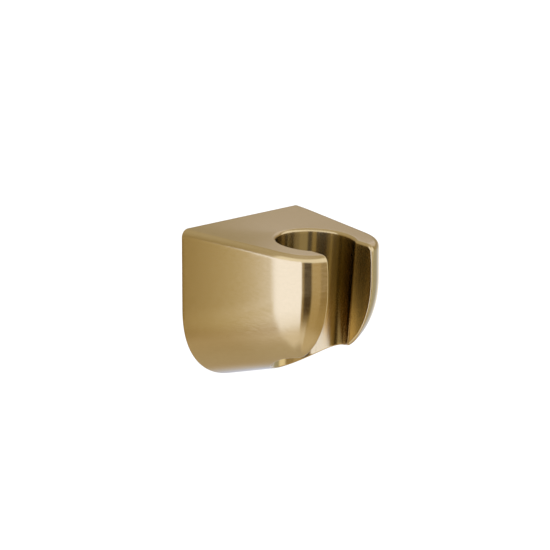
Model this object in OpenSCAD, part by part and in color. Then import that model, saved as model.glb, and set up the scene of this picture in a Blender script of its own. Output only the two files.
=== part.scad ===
// Wall holder for a hand shower. A tapered, round-bottomed casting with a conical bore that the
// shower's handle sits in and a front slot that lets the hose in. It hangs on a small wall plate
// and is locked there by a grub screw from below.
//
// Millimetres. +Z is up, the wall is the plane y = 0 and the holder reaches towards -Y.
// The origin is the middle of the wall plate's screw pattern, on the wall.
// Heights in the body are counted from its lowest point at the wall, reach is counted from the wall.

/* [Body] */
// Width at the wall
body_w = 52; // [50:0.5:60]
// Height at the wall
body_h = 49.6; // [48:0.2:56]
// Reach from the wall to the middle of the front
body_d = 47.8; // [46:0.2:54]
// How far each side leans in towards the front, in degrees
side_taper = 9.1; // [6:0.1:10]
// How far the top falls towards the front, in degrees. The bore stands square to the top
top_fall = 4; // [0:0.5:8]
// How far the underside rises towards the front, in degrees
under_rise = 13.8; // [8:0.2:18]
// Size of the large rounding between the underside and the sides and front
under_round = 24.1; // [18:0.1:26]
// Shape of that rounding: 2 is a circle, more is squarer
round_power = 2.3; // [2:0.1:2.6]
// Radius of the two upright front corners
corner_r = 7.8; // [4:0.2:9]
// Radius of the shallow curve across the front
crown_r = 54.7; // [40:0.1:90]
// Rounding of the top edge along the sides and front
top_edge_r = 1.3; // [0.8:0.1:2]

/* [Bore and slot] */
// Distance of the bore's centre from the wall, along the top
bore_d = 32.2; // [31:0.1:34]
// Bore diameter just below the rounded rim
bore_top_dia = 24.5; // [23:0.1:25.5]
// Draft of the bore's wall, in degrees, narrower below
bore_draft = 0.95; // [0:0.05:2]
// Width of the front slot
slot_w = 19.4; // [16:0.1:20]
// Rounding of the rim round the bore and slot
rim_r = 1; // [0.5:0.1:1.5]

/* [Wall plate] */
// Height of the screw pattern's middle above the body's lowest point
plate_at = 26.6; // [25.6:0.1:27.6]
// Width of the plate
plate_w = 35.4; // [30:0.2:37]
// Height of the plate
plate_h = 33.4; // [31:0.2:34]
// Thickness of the plate
plate_t = 7; // [6:0.1:7.5]
// Corner radius of the plate
plate_corner_r = 5; // [3:0.5:8]
// Edge chamfer on the plate's front
plate_chamfer = 1; // [0.4:0.1:1.5]
// Distance between the two wall screws
screw_gap = 20; // [18:0.5:21]
// Diameter of the holes for the wall screws
screw_hole = 4.6; // [4.2:0.1:5.2]
// Diameter of the countersinks for their heads
screw_sink = 9; // [8:0.1:9.6]
// Play between the plate and the body's recess, on each side
plate_play = 0.3; // [0.2:0.05:0.5]
// Room in the recess in front of the plate
recess_room = 2; // [1:0.1:2.4]

/* [Grub screw] */
// Thread diameter
grub_dia = 5; // [4:0.5:5]
// Length, point included
grub_len = 8; // [7:0.5:8.5]
// Key size across the flats of the socket
grub_key = 2.5; // [2:0.5:2.5]
// Depth of the socket
grub_key_depth = 3; // [2:0.5:3.5]
// Depth of the point's seat in the plate
seat_depth = 0.8; // [0.5:0.1:1]
// Play round the grub screw
grub_play = 0.05; // [0.02:0.01:0.08]

/* [Detail] */
// Facets on a full circle
facets = 96; // [48:16:128]
// Steps up the large rounding
round_steps = 20; // [12:1:28]
// Steps round a front corner
corner_steps = 14; // [8:1:18]

/* [Hidden] */
$fn = facets;
body_gold = [0.72, 0.60, 0.40];
steel = [0.66, 0.66, 0.68];
cut = 1;              // how far a cutter runs past the face it opens
floor_z = -plate_at;  // the body's lowest point
crown_steps = 5;
edge_steps = 4;
corner_keep = 3;      // the least that a front corner's radius exceeds the inset by
plan_turns = 5;       // how often a point of the plan is worked out again, until it stays
leaf = 0.01;          // thickness of one level of the body
leaf_ratio = 0.97;    // how far each level narrows
bore_top_r = bore_top_dia / 2;
recess_w = plate_w + 2 * plate_play;
recess_h = plate_h + 2 * plate_play;
recess_d = plate_t + recess_room;
recess_corner_r = plate_corner_r + plate_play;
grub_r = grub_dia / 2;
grub_y = -plate_t / 2;
point_ratio = 0.6;    // the flat end of the point against the whole thread
grub_point = grub_r * point_ratio;
// the point stops just short of its seat's end, so the two only touch
seat_gap = 0.05;
grub_top = -plate_h / 2 + seat_depth - seat_gap;

// Which piece to show

// Height of the top at reach d.
function top_z(d) = floor_z + body_h - d * tan(top_fall);

// Point of the plan that lies s inside the side face and f inside the front.
function plan_x(s, d) = body_w / 2 - s / cos(side_taper) - d * tan(side_taper);
function plan_point(s, f, d, turns = plan_turns) =
    turns == 0 ? [max(plan_x(s, d), 0), d]
    : plan_point(s, f, body_d - f - pow(max(plan_x(s, d), 0), 2) / (2 * crown_r), turns - 1);

// Half outline of the plan, inset all along by a, from the wall to the middle of the front.
// The corner keeps a little radius however far it is inset, so no crease runs down the body.
function half_plan(a) =
    let (r = max(corner_r, a + corner_keep))
    concat(
        [[max(plan_x(a, 0), 0), 0]],
        [for (i = [0 : corner_steps])
            let (t = 90 * i / corner_steps)
            plan_point(r - (r - a) * cos(t), r - (r - a) * sin(t), body_d)],
        [for (i = [1 : crown_steps])
            let (x = plan_point(r, a, body_d)[0] * (1 - i / crown_steps))
            [x, body_d - a - x * x / (2 * crown_r)]]);

// One level of the body: the plan inset by a, at height z0 at the wall and sloped from there.
// It is a leaf thinner than a hair that narrows away from its outer edge, upwards or downwards.
module level(a, z0, slope, up) {
    half = half_plan(a);
    n = len(half);
    multmatrix([[1, 0, 0, 0], [0, 1, 0, 0], [0, -tan(slope), up, z0]])
        linear_extrude(leaf, scale = leaf_ratio)
            polygon([for (i = [0 : 2 * n - 1]) let (p = half[i < n ? i : 2 * n - 1 - i])
                [i < n ? p[0] : -p[0], -p[1]]]);
}

// The body before anything is cut into it.
module outer_form() {
    hull() {
        for (i = [0 : round_steps]) {
            t = 90 * i / round_steps;
            a = under_round * (1 - pow(cos(t), 2 / round_power));
            b = under_round * (1 - pow(sin(t), 2 / round_power));
            level(a, floor_z + b / cos(under_rise), under_rise, 1);
        }
        for (i = [0 : edge_steps]) {
            t = 90 * i / edge_steps;
            a = top_edge_r * (1 - cos(t));
            b = top_edge_r * (1 - sin(t));
            level(a, floor_z + body_h - b / cos(top_fall), -top_fall, -1);
        }
    }
}

// Moves to the bore's mouth, with Z along the bore.
module at_bore() {
    translate([0, -bore_d, top_z(bore_d)]) rotate([top_fall, 0, 0]) children();
}

// Right half of a cut of half width w, with the rounded rim at its mouth.
module mouth_profile(w, draft) {
    depth = body_h + cut;
    difference() {
        union() {
            polygon([[0, cut], [w, cut], [w, -rim_r], [w - (depth - rim_r) * tan(draft), -depth],
                [0, -depth]]);
            translate([0, -rim_r]) square([w + rim_r, rim_r + cut]);
        }
        translate([w + rim_r, -rim_r]) circle(r = rim_r);
    }
}

module bore_cut() {
    at_bore() rotate_extrude() mouth_profile(bore_top_r, bore_draft);
}

module slot_cut() {
    at_bore() rotate([90, 0, 0]) linear_extrude(body_d) {
        mouth_profile(slot_w / 2, 0);
        mirror([1, 0]) mouth_profile(slot_w / 2, 0);
    }
}

// Rounded rectangle, centred.
module plate_outline(w, h, r) {
    square([w - 2 * r, h], center = true);
    square([w, h - 2 * r], center = true);
    for (x = [-1, 1], z = [-1, 1]) translate([x * (w / 2 - r), z * (h / 2 - r)]) circle(r = r);
}

module recess_cut() {
    translate([0, cut, 0]) rotate([90, 0, 0]) linear_extrude(recess_d + cut)
        plate_outline(recess_w, recess_h, recess_corner_r);
}

module holder_body() {
    color(body_gold) difference() {
        outer_form();
        bore_cut();
        slot_cut();
        recess_cut();
        translate([0, grub_y, floor_z - cut]) cylinder(h = plate_at, r = grub_r + grub_play);
    }
}

module wall_plate() {
    color(steel) difference() {
        union() {
            rotate([90, 0, 0]) linear_extrude(plate_t - plate_chamfer)
                plate_outline(plate_w, plate_h, plate_corner_r);
            rotate([90, 0, 0]) linear_extrude(plate_t)
                plate_outline(plate_w - 2 * plate_chamfer, plate_h - 2 * plate_chamfer,
                    plate_corner_r - plate_chamfer);
        }
        for (z = [-1, 1]) translate([0, cut, z * screw_gap / 2]) rotate([90, 0, 0]) {
            cylinder(h = plate_t + 2 * cut, r = screw_hole / 2);
            translate([0, 0, cut + plate_t - (screw_sink - screw_hole) / 2])
                cylinder(h = (screw_sink - screw_hole) / 2 + cut, r1 = screw_hole / 2,
                    r2 = screw_sink / 2 + cut);
        }
        // seat for the grub screw's point, as wide again on each side as it is deep
        translate([0, grub_y, -plate_h / 2 - cut])
            cylinder(h = seat_depth + cut, r1 = grub_point + seat_depth + cut, r2 = grub_point);
    }
}

module grub_screw() {
    color(steel) translate([0, grub_y, grub_top - grub_len]) difference() {
        union() {
            cylinder(h = grub_len - (grub_r - grub_point), r = grub_r);
            translate([0, 0, grub_len - (grub_r - grub_point)])
                cylinder(h = grub_r - grub_point, r1 = grub_r, r2 = grub_point);
        }
        translate([0, 0, -cut]) cylinder(h = grub_key_depth + cut, r = grub_key / sqrt(3), $fn = 6);
    }
}

holder_body();
wall_plate();
grub_screw();
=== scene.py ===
"""Looks of the wall holder for a hand shower: brushed gold body, steel wall plate and grub screw.

The body is one casting. Its skin is described by the same rule as its solid, as a height above the
surface, and meshed here with every edge rounded. Lengths in the shape are millimetres and heights
are counted from the body's lowest point. Blender's own objects are in metres.
"""
import math

import bmesh
import bpy
import numpy as np
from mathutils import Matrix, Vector


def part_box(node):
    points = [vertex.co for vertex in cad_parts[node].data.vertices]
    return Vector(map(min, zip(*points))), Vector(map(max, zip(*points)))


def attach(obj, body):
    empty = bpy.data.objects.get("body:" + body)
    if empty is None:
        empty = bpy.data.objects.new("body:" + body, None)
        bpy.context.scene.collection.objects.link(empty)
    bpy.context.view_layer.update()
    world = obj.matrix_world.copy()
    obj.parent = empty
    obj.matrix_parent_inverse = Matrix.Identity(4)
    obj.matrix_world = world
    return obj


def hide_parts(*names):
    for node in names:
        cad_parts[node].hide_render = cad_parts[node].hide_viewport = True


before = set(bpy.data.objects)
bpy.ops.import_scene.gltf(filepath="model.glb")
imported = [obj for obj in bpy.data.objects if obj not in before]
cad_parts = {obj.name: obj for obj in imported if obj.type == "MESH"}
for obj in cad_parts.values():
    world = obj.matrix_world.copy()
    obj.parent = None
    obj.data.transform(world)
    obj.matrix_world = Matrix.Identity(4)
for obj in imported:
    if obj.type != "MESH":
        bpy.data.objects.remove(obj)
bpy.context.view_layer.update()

MM = 0.001

# Body. Its lowest point, width and height are the solid's own
body_low, body_high = (Vector(corner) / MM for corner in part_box("holder_body"))
floor_z = body_low.z
body_w = body_high.x - body_low.x
body_h = body_high.z - body_low.z
body_d = 47.8
side_taper = math.radians(9.1)
top_fall = math.radians(4)
under_rise = math.radians(13.8)
under_round = 24.1
round_power = 2.3
corner_r = 11
corner_power = 3
corner_keep = 3
crown_r = 54.7
# The top edge is rounder beside the wall, by so much and over so long a reach
top_edge_r, top_edge_more, top_edge_reach = 2.1, 0.5, 8
wall_edge_r = 0.4

# Bore and slot
bore_d = 32.2
bore_top_r = 12.25
bore_draft = math.radians(0.95)
slot_half = 9.4
bore_corner_r = 0.4
# Rim at the top, along the slot and low down in front, and over which heights and reach it changes
rim_r, rim_low_r, rim_under_r = 1.0, 0.5, 1.6
rim_upper_z, rim_under_z, rim_under_d = (41, 45), (18, 12), (34, 38)

# Recess for the wall plate, and the grub screw's hole
recess_half_w, recess_half_h, recess_d = 18, 17, 9
recess_corner_r = 5.3
recess_edge_r = 0.3
plate_z = -floor_z
grub_d = 3.5
grub_hole_r = 2.55

# Mesh. The first net is of cells with some steps of room round the body. An edge is then split
# while its two ends turn too far from each other, or its middle from the mean of its ends. A point
# is held a little to the middle of its cell's crossings
net_step = 0.8
steps_before, steps_after = 1.5, 2
most_bend = math.radians(12)
shortest_edge = 0.05
most_uneven = math.radians(1.5)
shortest_uneven = 0.3
least_share = 0.1
refine_rounds = 5
ease_rounds = 6
hold = 0.02
tiny = 1e-9

# Finish
gold = (0.80, 0.62, 0.33)
gold_deep = (0.787, 0.608, 0.32)
gold_dark = (0.66, 0.50, 0.25)
gold_raw = (0.55, 0.43, 0.26)
# Painted shade for the inside of the bore and slot
gold_shade = (0.34, 0.27, 0.12)
steel_grey = (0.60, 0.60, 0.62)
steel_dark = (0.50, 0.50, 0.52)
brushed, brushed_spread = 0.17, 0.03
polished = 0.20
raw_rough = 0.5
steel_rough, steel_spread = 0.35, 0.07
drawn_out, drawn_turn = 0.95, 0.25
scratch_long, scratch_wide, scratch_depth = 2.5, 0.25, 0.008
scratch_detail = 3
scratch_dark = 0.25
polished_scratch = 0.05
steel_long, steel_wide, steel_depth = 1.2, 0.12, 0.004
cloud_size = 1.0
# Ranges of the noise, and of how far a face looks up, over which the finish changes
grain_range = 0.3, 0.7
cloud_range = 0.35, 0.65
upward_range = 0.6, 0.9

# Where the finish and the painted shade in the bore change on the body. Leans are in rim radii from the
# middle of the rim
polish_lean = -1, 0.2
shade_lean = 0.6, 1.2
widest_near, widest_far = (26, 29), (38, 36)
shade_z = 14, 32
least_shade, most_shade = 0.1, 0.72
raw_fade = 1

# Studio
floor_white, floor_rough = (0.9, 0.9, 0.9), 0.9
floor_z_m, floor_reach = -0.12, 4
surround = 1.25


def ramp(value, start, end):
    """0 before the start and 1 past the end."""
    return np.clip((value - start) / (end - start), 0, 1)


def soft_max(a, b, radius, power=2.0):
    """The larger of two heights, with the edge where their surfaces meet rounded."""
    over_a, over_b = np.maximum(a + radius, 0), np.maximum(b + radius, 0)
    return np.minimum(np.maximum(a, b), -radius) + (over_a**power + over_b**power) ** (1 / power)


def outer_skin(x, d, z):
    """Height above the casting's outside, before anything is cut into it."""
    side = np.abs(x) * math.cos(side_taper) - body_w / 2 * math.cos(side_taper)
    side = side + d * math.sin(side_taper)
    top = (z - body_h + d * math.tan(top_fall)) * math.cos(top_fall)
    front = d - body_d + x**2 / (2 * crown_r)
    under = (d * math.tan(under_rise) - z) * math.cos(under_rise)
    rise = np.clip(-under / under_round, 0, 1)
    inset = under_round * (1 - (1 - (1 - rise) ** round_power) ** (1 / round_power))
    skin = soft_max(side, front, np.maximum(corner_r, inset + corner_keep), corner_power)
    skin = soft_max(skin, under, under_round, round_power)
    skin = soft_max(skin, top, top_edge_r + top_edge_more * ramp(d, top_edge_reach, 0) ** 2)
    return soft_max(skin, -d, wall_edge_r)


def bore_and_slot(x, d, z):
    """Height above the metal round the bore and slot: negative in the metal, positive in the hole.

    The slot starts inside the bore, a little behind its middle.
    """
    top_z = body_h - bore_d * math.tan(top_fall)
    along = (d - bore_d) * math.sin(top_fall) + (z - top_z) * math.cos(top_fall)
    across = (d - bore_d) * math.cos(top_fall) - (z - top_z) * math.sin(top_fall)
    bore = (bore_top_r + along * math.tan(bore_draft) - np.hypot(x, across)) * math.cos(bore_draft)
    slot = np.minimum(slot_half - np.abs(x), across + bore_top_r / 2)
    return soft_max(bore, slot, bore_corner_r)


def recess(x, d, z):
    """The same for the recess behind, where the wall plate sits, and the grub screw's hole."""
    up = z - plate_z
    over_x = np.abs(x) - recess_half_w + recess_corner_r
    over_z = np.abs(up) - recess_half_h + recess_corner_r
    outline = np.hypot(np.maximum(over_x, 0), np.maximum(over_z, 0)) + np.minimum(
        np.maximum(over_x, over_z), 0) - recess_corner_r
    pocket = -soft_max(outline, d - recess_d, recess_edge_r)
    hole = np.minimum(grub_hole_r - np.hypot(x, d - grub_d), plate_z - z)
    return soft_max(pocket, hole, recess_edge_r)


def rim_radius(d, z):
    """The rim is rounder at the top, and low down in front, than along the slot."""
    upper = ramp(z, *rim_upper_z)
    under = ramp(z, *rim_under_z) * ramp(d, *rim_under_d)
    return rim_low_r + (rim_r - rim_low_r) * upper + (rim_under_r - rim_low_r) * under


def casting(points):
    """Height above the whole body's surface, at points in the part's own frame in millimetres."""
    x, d, z = points[..., 0], -points[..., 1], points[..., 2] - floor_z
    metal = soft_max(outer_skin(x, d, z), bore_and_slot(x, d, z), rim_radius(d, z))
    return soft_max(metal, recess(x, d, z), recess_edge_r)


def slope(height, points, reach=1e-3):
    """The direction in which the height grows, and how fast."""
    steps = np.eye(3) * reach
    return np.stack([height(points + s) - height(points - s) for s in steps], axis=-1) / (2 * reach)


def settle(height, points, rounds=6):
    """Moves points onto the surface."""
    for _ in range(rounds):
        way = slope(height, points)
        points = points - (height(points) / np.maximum((way**2).sum(-1), tiny))[:, None] * way
    return points


def surface_net(height, low, high, step):
    """Points on the surface and the squares between them, one point to each cell that it crosses.

    A cell's point is where the planes at the surface's crossings of its edges come closest to
    meeting, so that it falls on a corner or crease where the cell has one.
    """
    axes = [np.arange(lo - steps_before * step, hi + steps_after * step, step)
            for lo, hi in zip(low, high)]
    grid = np.stack(np.meshgrid(*axes, indexing="ij"), axis=-1)
    value = height(grid)
    cells = np.array(value.shape)
    planes, pull = np.zeros((cells.prod(), 3, 3)), np.zeros((cells.prod(), 3))
    total, count = np.zeros((cells.prod(), 3)), np.zeros(cells.prod())
    squares = []
    for axis in range(3):
        ahead, side, up = np.roll(np.eye(3, dtype=int), -axis, axis=0)
        start = np.argwhere(np.diff(value < 0, axis=axis))
        here, there = value[tuple(start.T)], value[tuple((start + ahead).T)]
        crossing = grid[tuple(start.T)] + (here / (here - there))[:, None] * step * ahead
        normal = unit(slope(height, crossing))
        ring = [start, start - side, start - side - up, start - up]
        ring = np.stack([np.ravel_multi_index(tuple(cell.T), cells) for cell in ring], axis=1)
        for corner in range(4):
            np.add.at(planes, ring[:, corner], normal[:, :, None] * normal[:, None])
            np.add.at(pull, ring[:, corner], normal * (normal * crossing).sum(1)[:, None])
            np.add.at(total, ring[:, corner], crossing)
            np.add.at(count, ring[:, corner], 1)
        squares.append(np.where((here < 0)[:, None], ring, ring[:, ::-1]))
    used = np.flatnonzero(count)
    number = np.full(cells.prod(), -1)
    number[used] = np.arange(len(used))
    middle = total[used] / count[used][:, None]
    points = np.linalg.solve(planes[used] + hold * np.eye(3), (pull[used] + hold * middle)[..., None])
    away = points[..., 0] - middle
    far = np.linalg.norm(away, axis=1, keepdims=True)
    points = middle + away * np.minimum(1, step / np.maximum(far, tiny))
    return points, number[np.concatenate(squares)]


def unit(vectors):
    """The same directions, each of length 1."""
    return vectors / np.linalg.norm(vectors, axis=-1, keepdims=True)


def edges(triangles):
    """Each edge once, as its two points, and which edges each triangle has."""
    sides = np.sort(triangles[:, [[0, 1], [1, 2], [2, 0]]], axis=2).reshape(-1, 2)
    return np.unique(sides, axis=0, return_inverse=True)


def refine(height, points, triangles):
    """Splits every edge across which the surface turns too far, and says how many there were.

    So is a long edge of which one half lies flat and the other turns, as where a rounding starts.
    A new point starts where the planes through the edge's two ends meet, and so it settles in the
    middle of a rounding however small that is.
    """
    pairs, index = edges(triangles)
    index = index.reshape(-1, 3)
    normal = unit(slope(height, points))
    one, two = pairs.T
    edge = points[two] - points[one]
    turn = (normal[one] * normal[two]).sum(1)
    length = np.linalg.norm(edge, axis=1)
    even = (unit(slope(height, points[one] + edge / 2)) * unit(normal[one] + normal[two])).sum(1)
    split = (turn < math.cos(most_bend)) & (length > shortest_edge)
    split |= (even < math.cos(most_uneven)) & (length > shortest_uneven)
    above = np.abs((normal[two] * edge).sum(1)) + tiny
    below = np.abs((normal[one] * edge).sum(1)) + tiny
    share = np.clip(above / (above + below), least_share, 1 - least_share)[split, None]
    start = points[one[split]] + share * edge[split]
    way = unit(normal[one] + normal[two])[split]
    lean = (normal[one[split]] * way).sum(1)
    lift = -(normal[one[split]] * share * edge[split]).sum(1) / lean
    added = settle(height, start + lift[:, None] * way)
    middle = np.full(len(pairs), -1)
    middle[split] = len(points) + np.arange(split.sum())
    middles, marks = middle[index], split[index]
    # Each triangle is turned until its split edges come first, so that few patterns are left.
    kind = marks.sum(1)
    first = np.select([kind == 1, kind == 2], [marks.argmax(1), (marks.argmin(1) + 1) % 3], 0)
    order = (first[:, None] + np.arange(3)) % 3
    a, b, c = np.take_along_axis(triangles, order, 1).T
    ab, bc, ca = np.take_along_axis(middles, order, 1).T
    patterns = {0: [(a, b, c)],
                1: [(a, ab, c), (ab, b, c)],
                2: [(a, ab, c), (ab, bc, c), (ab, b, bc)],
                3: [(a, ab, ca), (ab, b, bc), (ca, bc, c), (ab, bc, ca)]}
    made = [np.stack(corner, axis=1)[kind == n] for n, pieces in patterns.items() for corner in pieces]
    return np.concatenate([points, added]), np.concatenate(made), int(split.sum())


def relax(height, points, triangles):
    """Eases the corners of any triangle that is turned over towards their neighbours."""
    pairs = edges(triangles)[0]
    pairs = np.concatenate([pairs, pairs[:, ::-1]])
    neighbours = np.bincount(pairs[:, 0])[:, None]
    for _ in range(ease_rounds):
        normal = unit(slope(height, points))
        a, b, c = points[triangles].transpose(1, 0, 2)
        facing = (np.cross(b - a, c - a)[:, None] * normal[triangles]).sum(-1)
        moved = np.unique(triangles[(facing <= 0).any(axis=1)])
        if len(moved) == 0:
            break
        total = np.zeros_like(points)
        np.add.at(total, pairs[:, 0], points[pairs[:, 1]])
        points[moved] = settle(height, (points[moved] + total[moved] / neighbours[moved]) / 2)
    return points


def mesh_surface(height, low, high, step):
    """The surface as triangles, fine only where it turns, and its normals."""
    points, squares = surface_net(height, low, high, step)
    points = settle(height, points)
    # Each square is cut along the diagonal across which the surface turns less.
    corner = unit(slope(height, points))[squares]
    cut = (corner[:, 0] * corner[:, 2]).sum(1) < (corner[:, 1] * corner[:, 3]).sum(1)
    squares = np.where(cut[:, None], np.roll(squares, 1, axis=1), squares)
    triangles = np.concatenate([squares[:, [0, 1, 2]], squares[:, [0, 2, 3]]])
    for _ in range(refine_rounds):
        points = relax(height, points, triangles)
        points, triangles, count = refine(height, points, triangles)
        if count == 0:
            break
    points = relax(height, points, triangles)
    return points, triangles, unit(slope(height, points))


def add_piece(name, points, triangles, normals, material):
    """A smooth piece, from points in the part's own frame in millimetres."""
    mesh = bpy.data.meshes.new(name)
    mesh.from_pydata((points * MM).tolist(), [], triangles.tolist())
    mesh.polygons.foreach_set("use_smooth", [True] * len(mesh.polygons))
    mesh.normals_split_custom_set_from_vertices(normals.tolist())
    mesh.materials.append(material)
    piece = bpy.data.objects.new(name, mesh)
    bpy.context.scene.collection.objects.link(piece)
    return piece


def store(piece, name, values):
    """Keeps one number for each point of a piece, for its material to read."""
    piece.data.attributes.new(name, "FLOAT", "POINT").data.foreach_set("value", values)


# Materials

def add_node(tree, kind, inputs=None, **settings):
    """A new node. An input goes by its name or number, and is a value or the socket it comes from."""
    made = tree.nodes.new(kind)
    for name, value in settings.items():
        setattr(made, name, value)
    for socket, value in (inputs or {}).items():
        if isinstance(value, bpy.types.NodeSocket):
            tree.links.new(value, made.inputs[socket])
        else:
            made.inputs[socket].default_value = value
    return made


def between(tree, value, low, high, to_low=0.0, to_high=1.0):
    """Stretches low to high onto another range."""
    ends = {"From Min": low, "From Max": high, "To Min": to_low, "To Max": to_high}
    return add_node(tree, "ShaderNodeMapRange", {"Value": value, **ends}).outputs[0]


def blend(tree, share, one, two):
    """One number where share is 0, the other where it is 1."""
    return add_node(tree, "ShaderNodeMix", {0: share, 2: one, 3: two}, data_type="FLOAT").outputs[0]


def blend_colour(tree, share, one, two):
    """The same for colours."""
    return add_node(tree, "ShaderNodeMix", {0: share, 6: one, 7: two}, data_type="RGBA").outputs[2]


def noise(tree, cell, detail=2.0, seed=0.0):
    """Noise from 0 to 1 with cells of a size in millimetres, one for each axis."""
    place = add_node(tree, "ShaderNodeTexCoord").outputs["Object"]
    scale = [1 / (size * MM) for size in cell]
    scaled = add_node(tree, "ShaderNodeVectorMath", {0: place, 1: scale}, operation="MULTIPLY")
    inputs = {"Vector": scaled.outputs[0], "W": seed, "Scale": 1.0, "Detail": detail}
    return add_node(tree, "ShaderNodeTexNoise", inputs, noise_dimensions="4D").outputs[0]


def attribute(tree, name):
    """A number that the mesh keeps at each point."""
    return add_node(tree, "ShaderNodeAttribute", attribute_name=name).outputs["Fac"]


def new_material(name, base, metallic, roughness):
    """A material, its node tree and its shader."""
    material = bpy.data.materials.new(name)
    material.use_nodes = True
    shader = material.node_tree.nodes["Principled BSDF"]
    shader.inputs["Base Color"].default_value = (*base, 1)
    shader.inputs["Metallic"].default_value = metallic
    shader.inputs["Roughness"].default_value = roughness
    return material, material.node_tree, shader


def scratch(tree, shader, grain, depth, share=1.0):
    """Fine scratches as bump."""
    bump = add_node(tree, "ShaderNodeBump", {"Strength": share, "Distance": depth * MM, "Height": grain})
    tree.links.new(bump.outputs[0], shader.inputs["Normal"])


def draw_out(tree, shader):
    """Highlights drawn out across the brushing."""
    tangent = add_node(tree, "ShaderNodeTangent", direction_type="RADIAL", axis="Z")
    tree.links.new(tangent.outputs[0], shader.inputs["Tangent"])
    shader.inputs["Anisotropic"].default_value = drawn_out
    shader.inputs["Anisotropic Rotation"].default_value = drawn_turn


def brushed_gold():
    """Brushed level round the sides and from side to side on the top, polished in the bore and slot,
    where shade is painted in darker.
    """
    material, tree, shader = new_material("brushed_gold", gold, 1, brushed)
    level = noise(tree, (scratch_long, scratch_long, scratch_wide), scratch_detail)
    across = noise(tree, (scratch_long, scratch_wide, scratch_long), scratch_detail, seed=4)
    normal = add_node(tree, "ShaderNodeNewGeometry").outputs["Normal"]
    upward = add_node(tree, "ShaderNodeSeparateXYZ", {0: normal}).outputs["Z"]
    grain = blend(tree, between(tree, upward, *upward_range), level, across)
    polish, raw = attribute(tree, "polish"), attribute(tree, "raw")
    cloud = noise(tree, (cloud_size,) * 3)
    colour = blend_colour(tree, between(tree, cloud, *cloud_range), (*gold, 1), (*gold_deep, 1))
    darker = between(tree, grain, *grain_range, scratch_dark, 0)
    colour = blend_colour(tree, darker, colour, (*gold_dark, 1))
    # Painted shade: the inside of the bore and slot is painted darker.
    colour = blend_colour(tree, attribute(tree, "deep"), colour, (*gold_shade, 1))
    colour = blend_colour(tree, raw, colour, (*gold_raw, 1))
    tree.links.new(colour, shader.inputs["Base Color"])
    rough = between(tree, grain, *grain_range, brushed - brushed_spread, brushed + brushed_spread)
    rough = blend(tree, polish, rough, polished)
    rough = blend(tree, raw, rough, raw_rough)
    tree.links.new(rough, shader.inputs["Roughness"])
    scratch(tree, shader, grain, scratch_depth, between(tree, polish, 0, 1, 1, polished_scratch))
    draw_out(tree, shader)
    return material


def steel(name):
    """Plain steel with a fine grain from side to side."""
    material, tree, shader = new_material(name, steel_grey, 1, steel_rough)
    grain = noise(tree, (steel_long, steel_wide, steel_wide), scratch_detail)
    colour = blend_colour(tree, grain, (*steel_grey, 1), (*steel_dark, 1))
    tree.links.new(colour, shader.inputs["Base Color"])
    rough = between(tree, grain, *grain_range, steel_rough - steel_spread, steel_rough + steel_spread)
    tree.links.new(rough, shader.inputs["Roughness"])
    scratch(tree, shader, grain, steel_depth)
    return material


# Pieces

def make_body():
    """The casting, in place of its solid."""
    points, triangles, normals = mesh_surface(casting, body_low, body_high, net_step)
    body = add_piece("gold_body", points, triangles, normals, brushed_gold())
    print("gold_body", len(points), "points", len(triangles), "triangles")
    x, d, z = points[:, 0], -points[:, 1], points[:, 2] - floor_z
    lean = (bore_and_slot(x, d, z) - outer_skin(x, d, z)) / rim_radius(d, z)
    store(body, "polish", ramp(lean, *polish_lean))
    # Painted shade: the bore is painted darker towards its top, and all the way down where it is widest,
    # beside the slot.
    widest = ramp(d, *widest_near) * ramp(d, *widest_far)
    shade_share = np.maximum(np.clip(ramp(z, *shade_z), least_shade, most_shade), widest)
    store(body, "deep", ramp(lean, *shade_lean) * shade_share)
    seen = np.maximum(outer_skin(x, d, z), bore_and_slot(x, d, z))
    store(body, "raw", ramp(recess(x, d, z) - seen, -raw_fade, 0))
    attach(body, "root")
    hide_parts("holder_body")


def dress_steel():
    """The wall plate and the grub screw keep their own meshes."""
    for node in ("wall_plate", "grub_screw"):
        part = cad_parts[node]
        part.data.materials.clear()
        part.data.materials.append(steel(node + "_steel"))


# Camera, in metres: it looks down past the left side, and the photo's middle falls above and left
# of the body
view_azimuth, view_elevation = math.radians(-45.086), math.radians(13.504)
camera_distance = 1.04
frame_width, lens = 36, 221.392
aim_from = Vector((0, -0.02808, -0.0006))
aim_right, aim_up = -0.009492, 0.009292
clip_near, clip_far = 0.01, 20


def make_camera():
    """The photo's own view."""
    back = Vector((math.sin(view_azimuth) * math.cos(view_elevation),
                   -math.cos(view_azimuth) * math.cos(view_elevation), math.sin(view_elevation)))
    right = Vector((math.cos(view_azimuth), math.sin(view_azimuth), 0))
    data = bpy.data.cameras.new("camera")
    data.sensor_width, data.lens = frame_width, lens
    data.clip_start, data.clip_end = clip_near, clip_far
    camera = bpy.data.objects.new("camera", data)
    camera.location = aim_from + right * aim_right + back.cross(right) * aim_up + back * camera_distance
    camera.rotation_mode = "QUATERNION"
    camera.rotation_quaternion = back.to_track_quat("Z", "Y")
    bpy.context.scene.collection.objects.link(camera)
    bpy.context.scene.camera = camera


def make_floor():
    """A plain white floor, which the metal doesn't mirror."""
    corners = [(-1, -1), (1, -1), (1, 1), (-1, 1)]
    points = [(x * floor_reach, y * floor_reach, floor_z_m) for x, y in corners]
    mesh = bpy.data.meshes.new("floor")
    mesh.from_pydata(points, [], [(0, 1, 2, 3)])
    mesh.materials.append(new_material("floor_white", floor_white, 0, floor_rough)[0])
    plane = bpy.data.objects.new("floor", mesh)
    plane.visible_glossy = False
    bpy.context.scene.collection.objects.link(plane)


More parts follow.
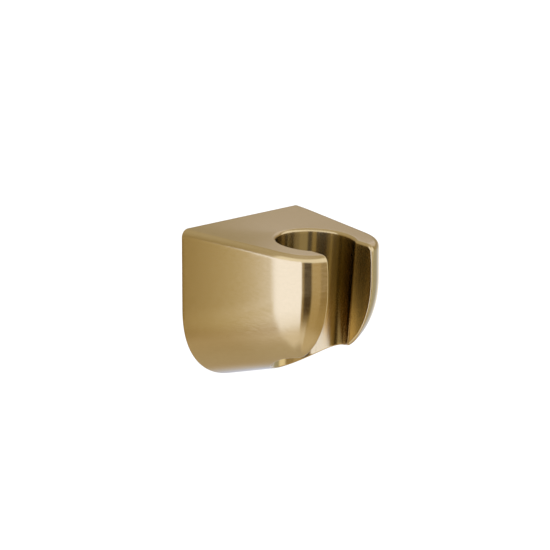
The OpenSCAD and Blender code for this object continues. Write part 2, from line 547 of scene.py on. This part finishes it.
# Light tent: it stands round the holder and is what the metal mirrors. Azimuth 0 is in front of the
# holder and 90 to its right. The room's brightness in red, green and blue is given by elevation.
# Each panel has its azimuths and how soft they end, its elevations and how soft they end, all in
# degrees, and its brightness. A later panel covers the ones before it.
tent_radius, tent_splits = 0.4, 7
room = {
    -90: (0.45, 0.41, 0.36),
    -70: (0.48, 0.44, 0.36),
    -58: (0.46, 0.40, 0.30),
    -45: (0.50, 0.43, 0.32),
    -36: (0.37, 0.29, 0.16),
    -10: (0.28, 0.205, 0.085),
    20: (0.38, 0.33, 0.22),
    60: (0.48, 0.445, 0.37),
    90: (0.56, 0.54, 0.54),
}
panels = {
    "backdrop": ((85, 185), 20, (-45, 2), 30, (0.60, 0.66, 0.86)),
    "background": ((104, 178), 12, (-22, 2), 8, (1.00, 1.02, 1.05)),
    "back wall": ((85, 136), 6, (21, 50), 5, (0.65, 0.63, 0.70)),
    "high front": ((-110.5, 70), 8, (-2, 50), 14, (0.95, 0.98, 1.10)),
    "floor front": ((-42, 60), 16, (-90, -53), 8, (0.62, 0.56, 0.46)),
    "floor glow": ((-122.5, -28), 7, (-75, -48), 6, (0.78, 0.76, 0.78)),
    "low front": ((-10, 48), 12, (-53, -30), 8, (0.42, 0.335, 0.18)),
    "front": ((-30, 2), 6, (-50, -2), 8, (0.46, 0.375, 0.22)),
    "far right": ((58, 92), 10, (-35, 2), 10, (0.43, 0.44, 0.40)),
    "right": ((33, 60), 10, (-35, 2), 10, (1.00, 0.97, 0.85)),
    "left glow": ((-118.1, -100), 8, (-38, 2), 14, (0.62, 0.565, 0.40)),
    "low left": ((-112.7, -51), 2, (-46, -20), 8, (1.08, 1.18, 1.64)),
    "mid left": ((-112.2, -51), 2, (-29, -11), 8, (1.18, 1.32, 1.96)),
    "left": ((-114.1, -51), 1, (-15, 8), 7, (1.18, 1.32, 1.96)),
    "camera": ((-44.8, -23.5), 6, (-36, 2), 20, (0.04, 0.02, 0.00)),
}


def window(angle, start, end, soft):
    """1 between two angles and 0 outside them, with soft borders."""
    inside = np.clip(np.minimum(angle - start, end - angle) / soft + 0.5, 0, 1)
    return inside * inside * (3 - 2 * inside)


def tent_light(azimuth, elevation):
    """Brightness of the tent in each direction."""
    light = [np.interp(elevation, list(room), level) for level in zip(*room.values())]
    light = np.stack(light, axis=1)
    for (start, end), soft, (bottom, top), soft_up, colour in panels.values():
        middle = (start + end) / 2
        beside = (azimuth - middle + 180) % 360 - 180
        share = window(beside, start - middle, end - middle, soft)
        share = share * window(elevation, bottom, top, soft_up)
        light += share[:, None] * (np.array(colour) - light)
    return light


def make_tent():
    """A ball round the holder that only the metal sees."""
    shape = bmesh.new()
    bmesh.ops.create_icosphere(shape, subdivisions=tent_splits, radius=tent_radius)
    mesh = bpy.data.meshes.new("light_tent")
    shape.to_mesh(mesh)
    shape.free()
    x, y, z = np.array([point.co for point in mesh.vertices]).T
    elevation = np.degrees(np.arcsin(np.clip(z / tent_radius, -1, 1)))
    light = tent_light(np.degrees(np.arctan2(x, -y)), elevation)
    colours = np.concatenate([light, np.ones((len(light), 1))], axis=1)
    mesh.color_attributes.new("light", "FLOAT_COLOR", "POINT").data.foreach_set("color", colours.ravel())
    material = bpy.data.materials.new("tent_light")
    material.use_nodes = True
    material.cycles.emission_sampling = "NONE"
    tree = material.node_tree
    tree.nodes.clear()
    colour = add_node(tree, "ShaderNodeAttribute", attribute_name="light").outputs["Color"]
    glow = add_node(tree, "ShaderNodeEmission", {"Color": colour, "Strength": 1.0}).outputs[0]
    add_node(tree, "ShaderNodeOutputMaterial", {"Surface": glow})
    mesh.materials.append(material)
    tent = bpy.data.objects.new("light_tent", mesh)
    tent.location = (0, -body_d / 2 * MM, 0)
    tent.visible_camera = tent.visible_diffuse = tent.visible_shadow = False
    bpy.context.scene.collection.objects.link(tent)


def make_light():
    """Plain white all round, for the floor and the background."""
    world = bpy.data.worlds.new("studio")
    bpy.context.scene.world = world
    world.use_nodes = True
    background = world.node_tree.nodes["Background"]
    background.inputs["Color"].default_value = (1, 1, 1, 1)
    background.inputs["Strength"].default_value = surround


make_camera()
make_body()
dress_steel()
make_floor()
make_tent()
make_light()
bpy.context.scene.view_settings.view_transform = "Standard"
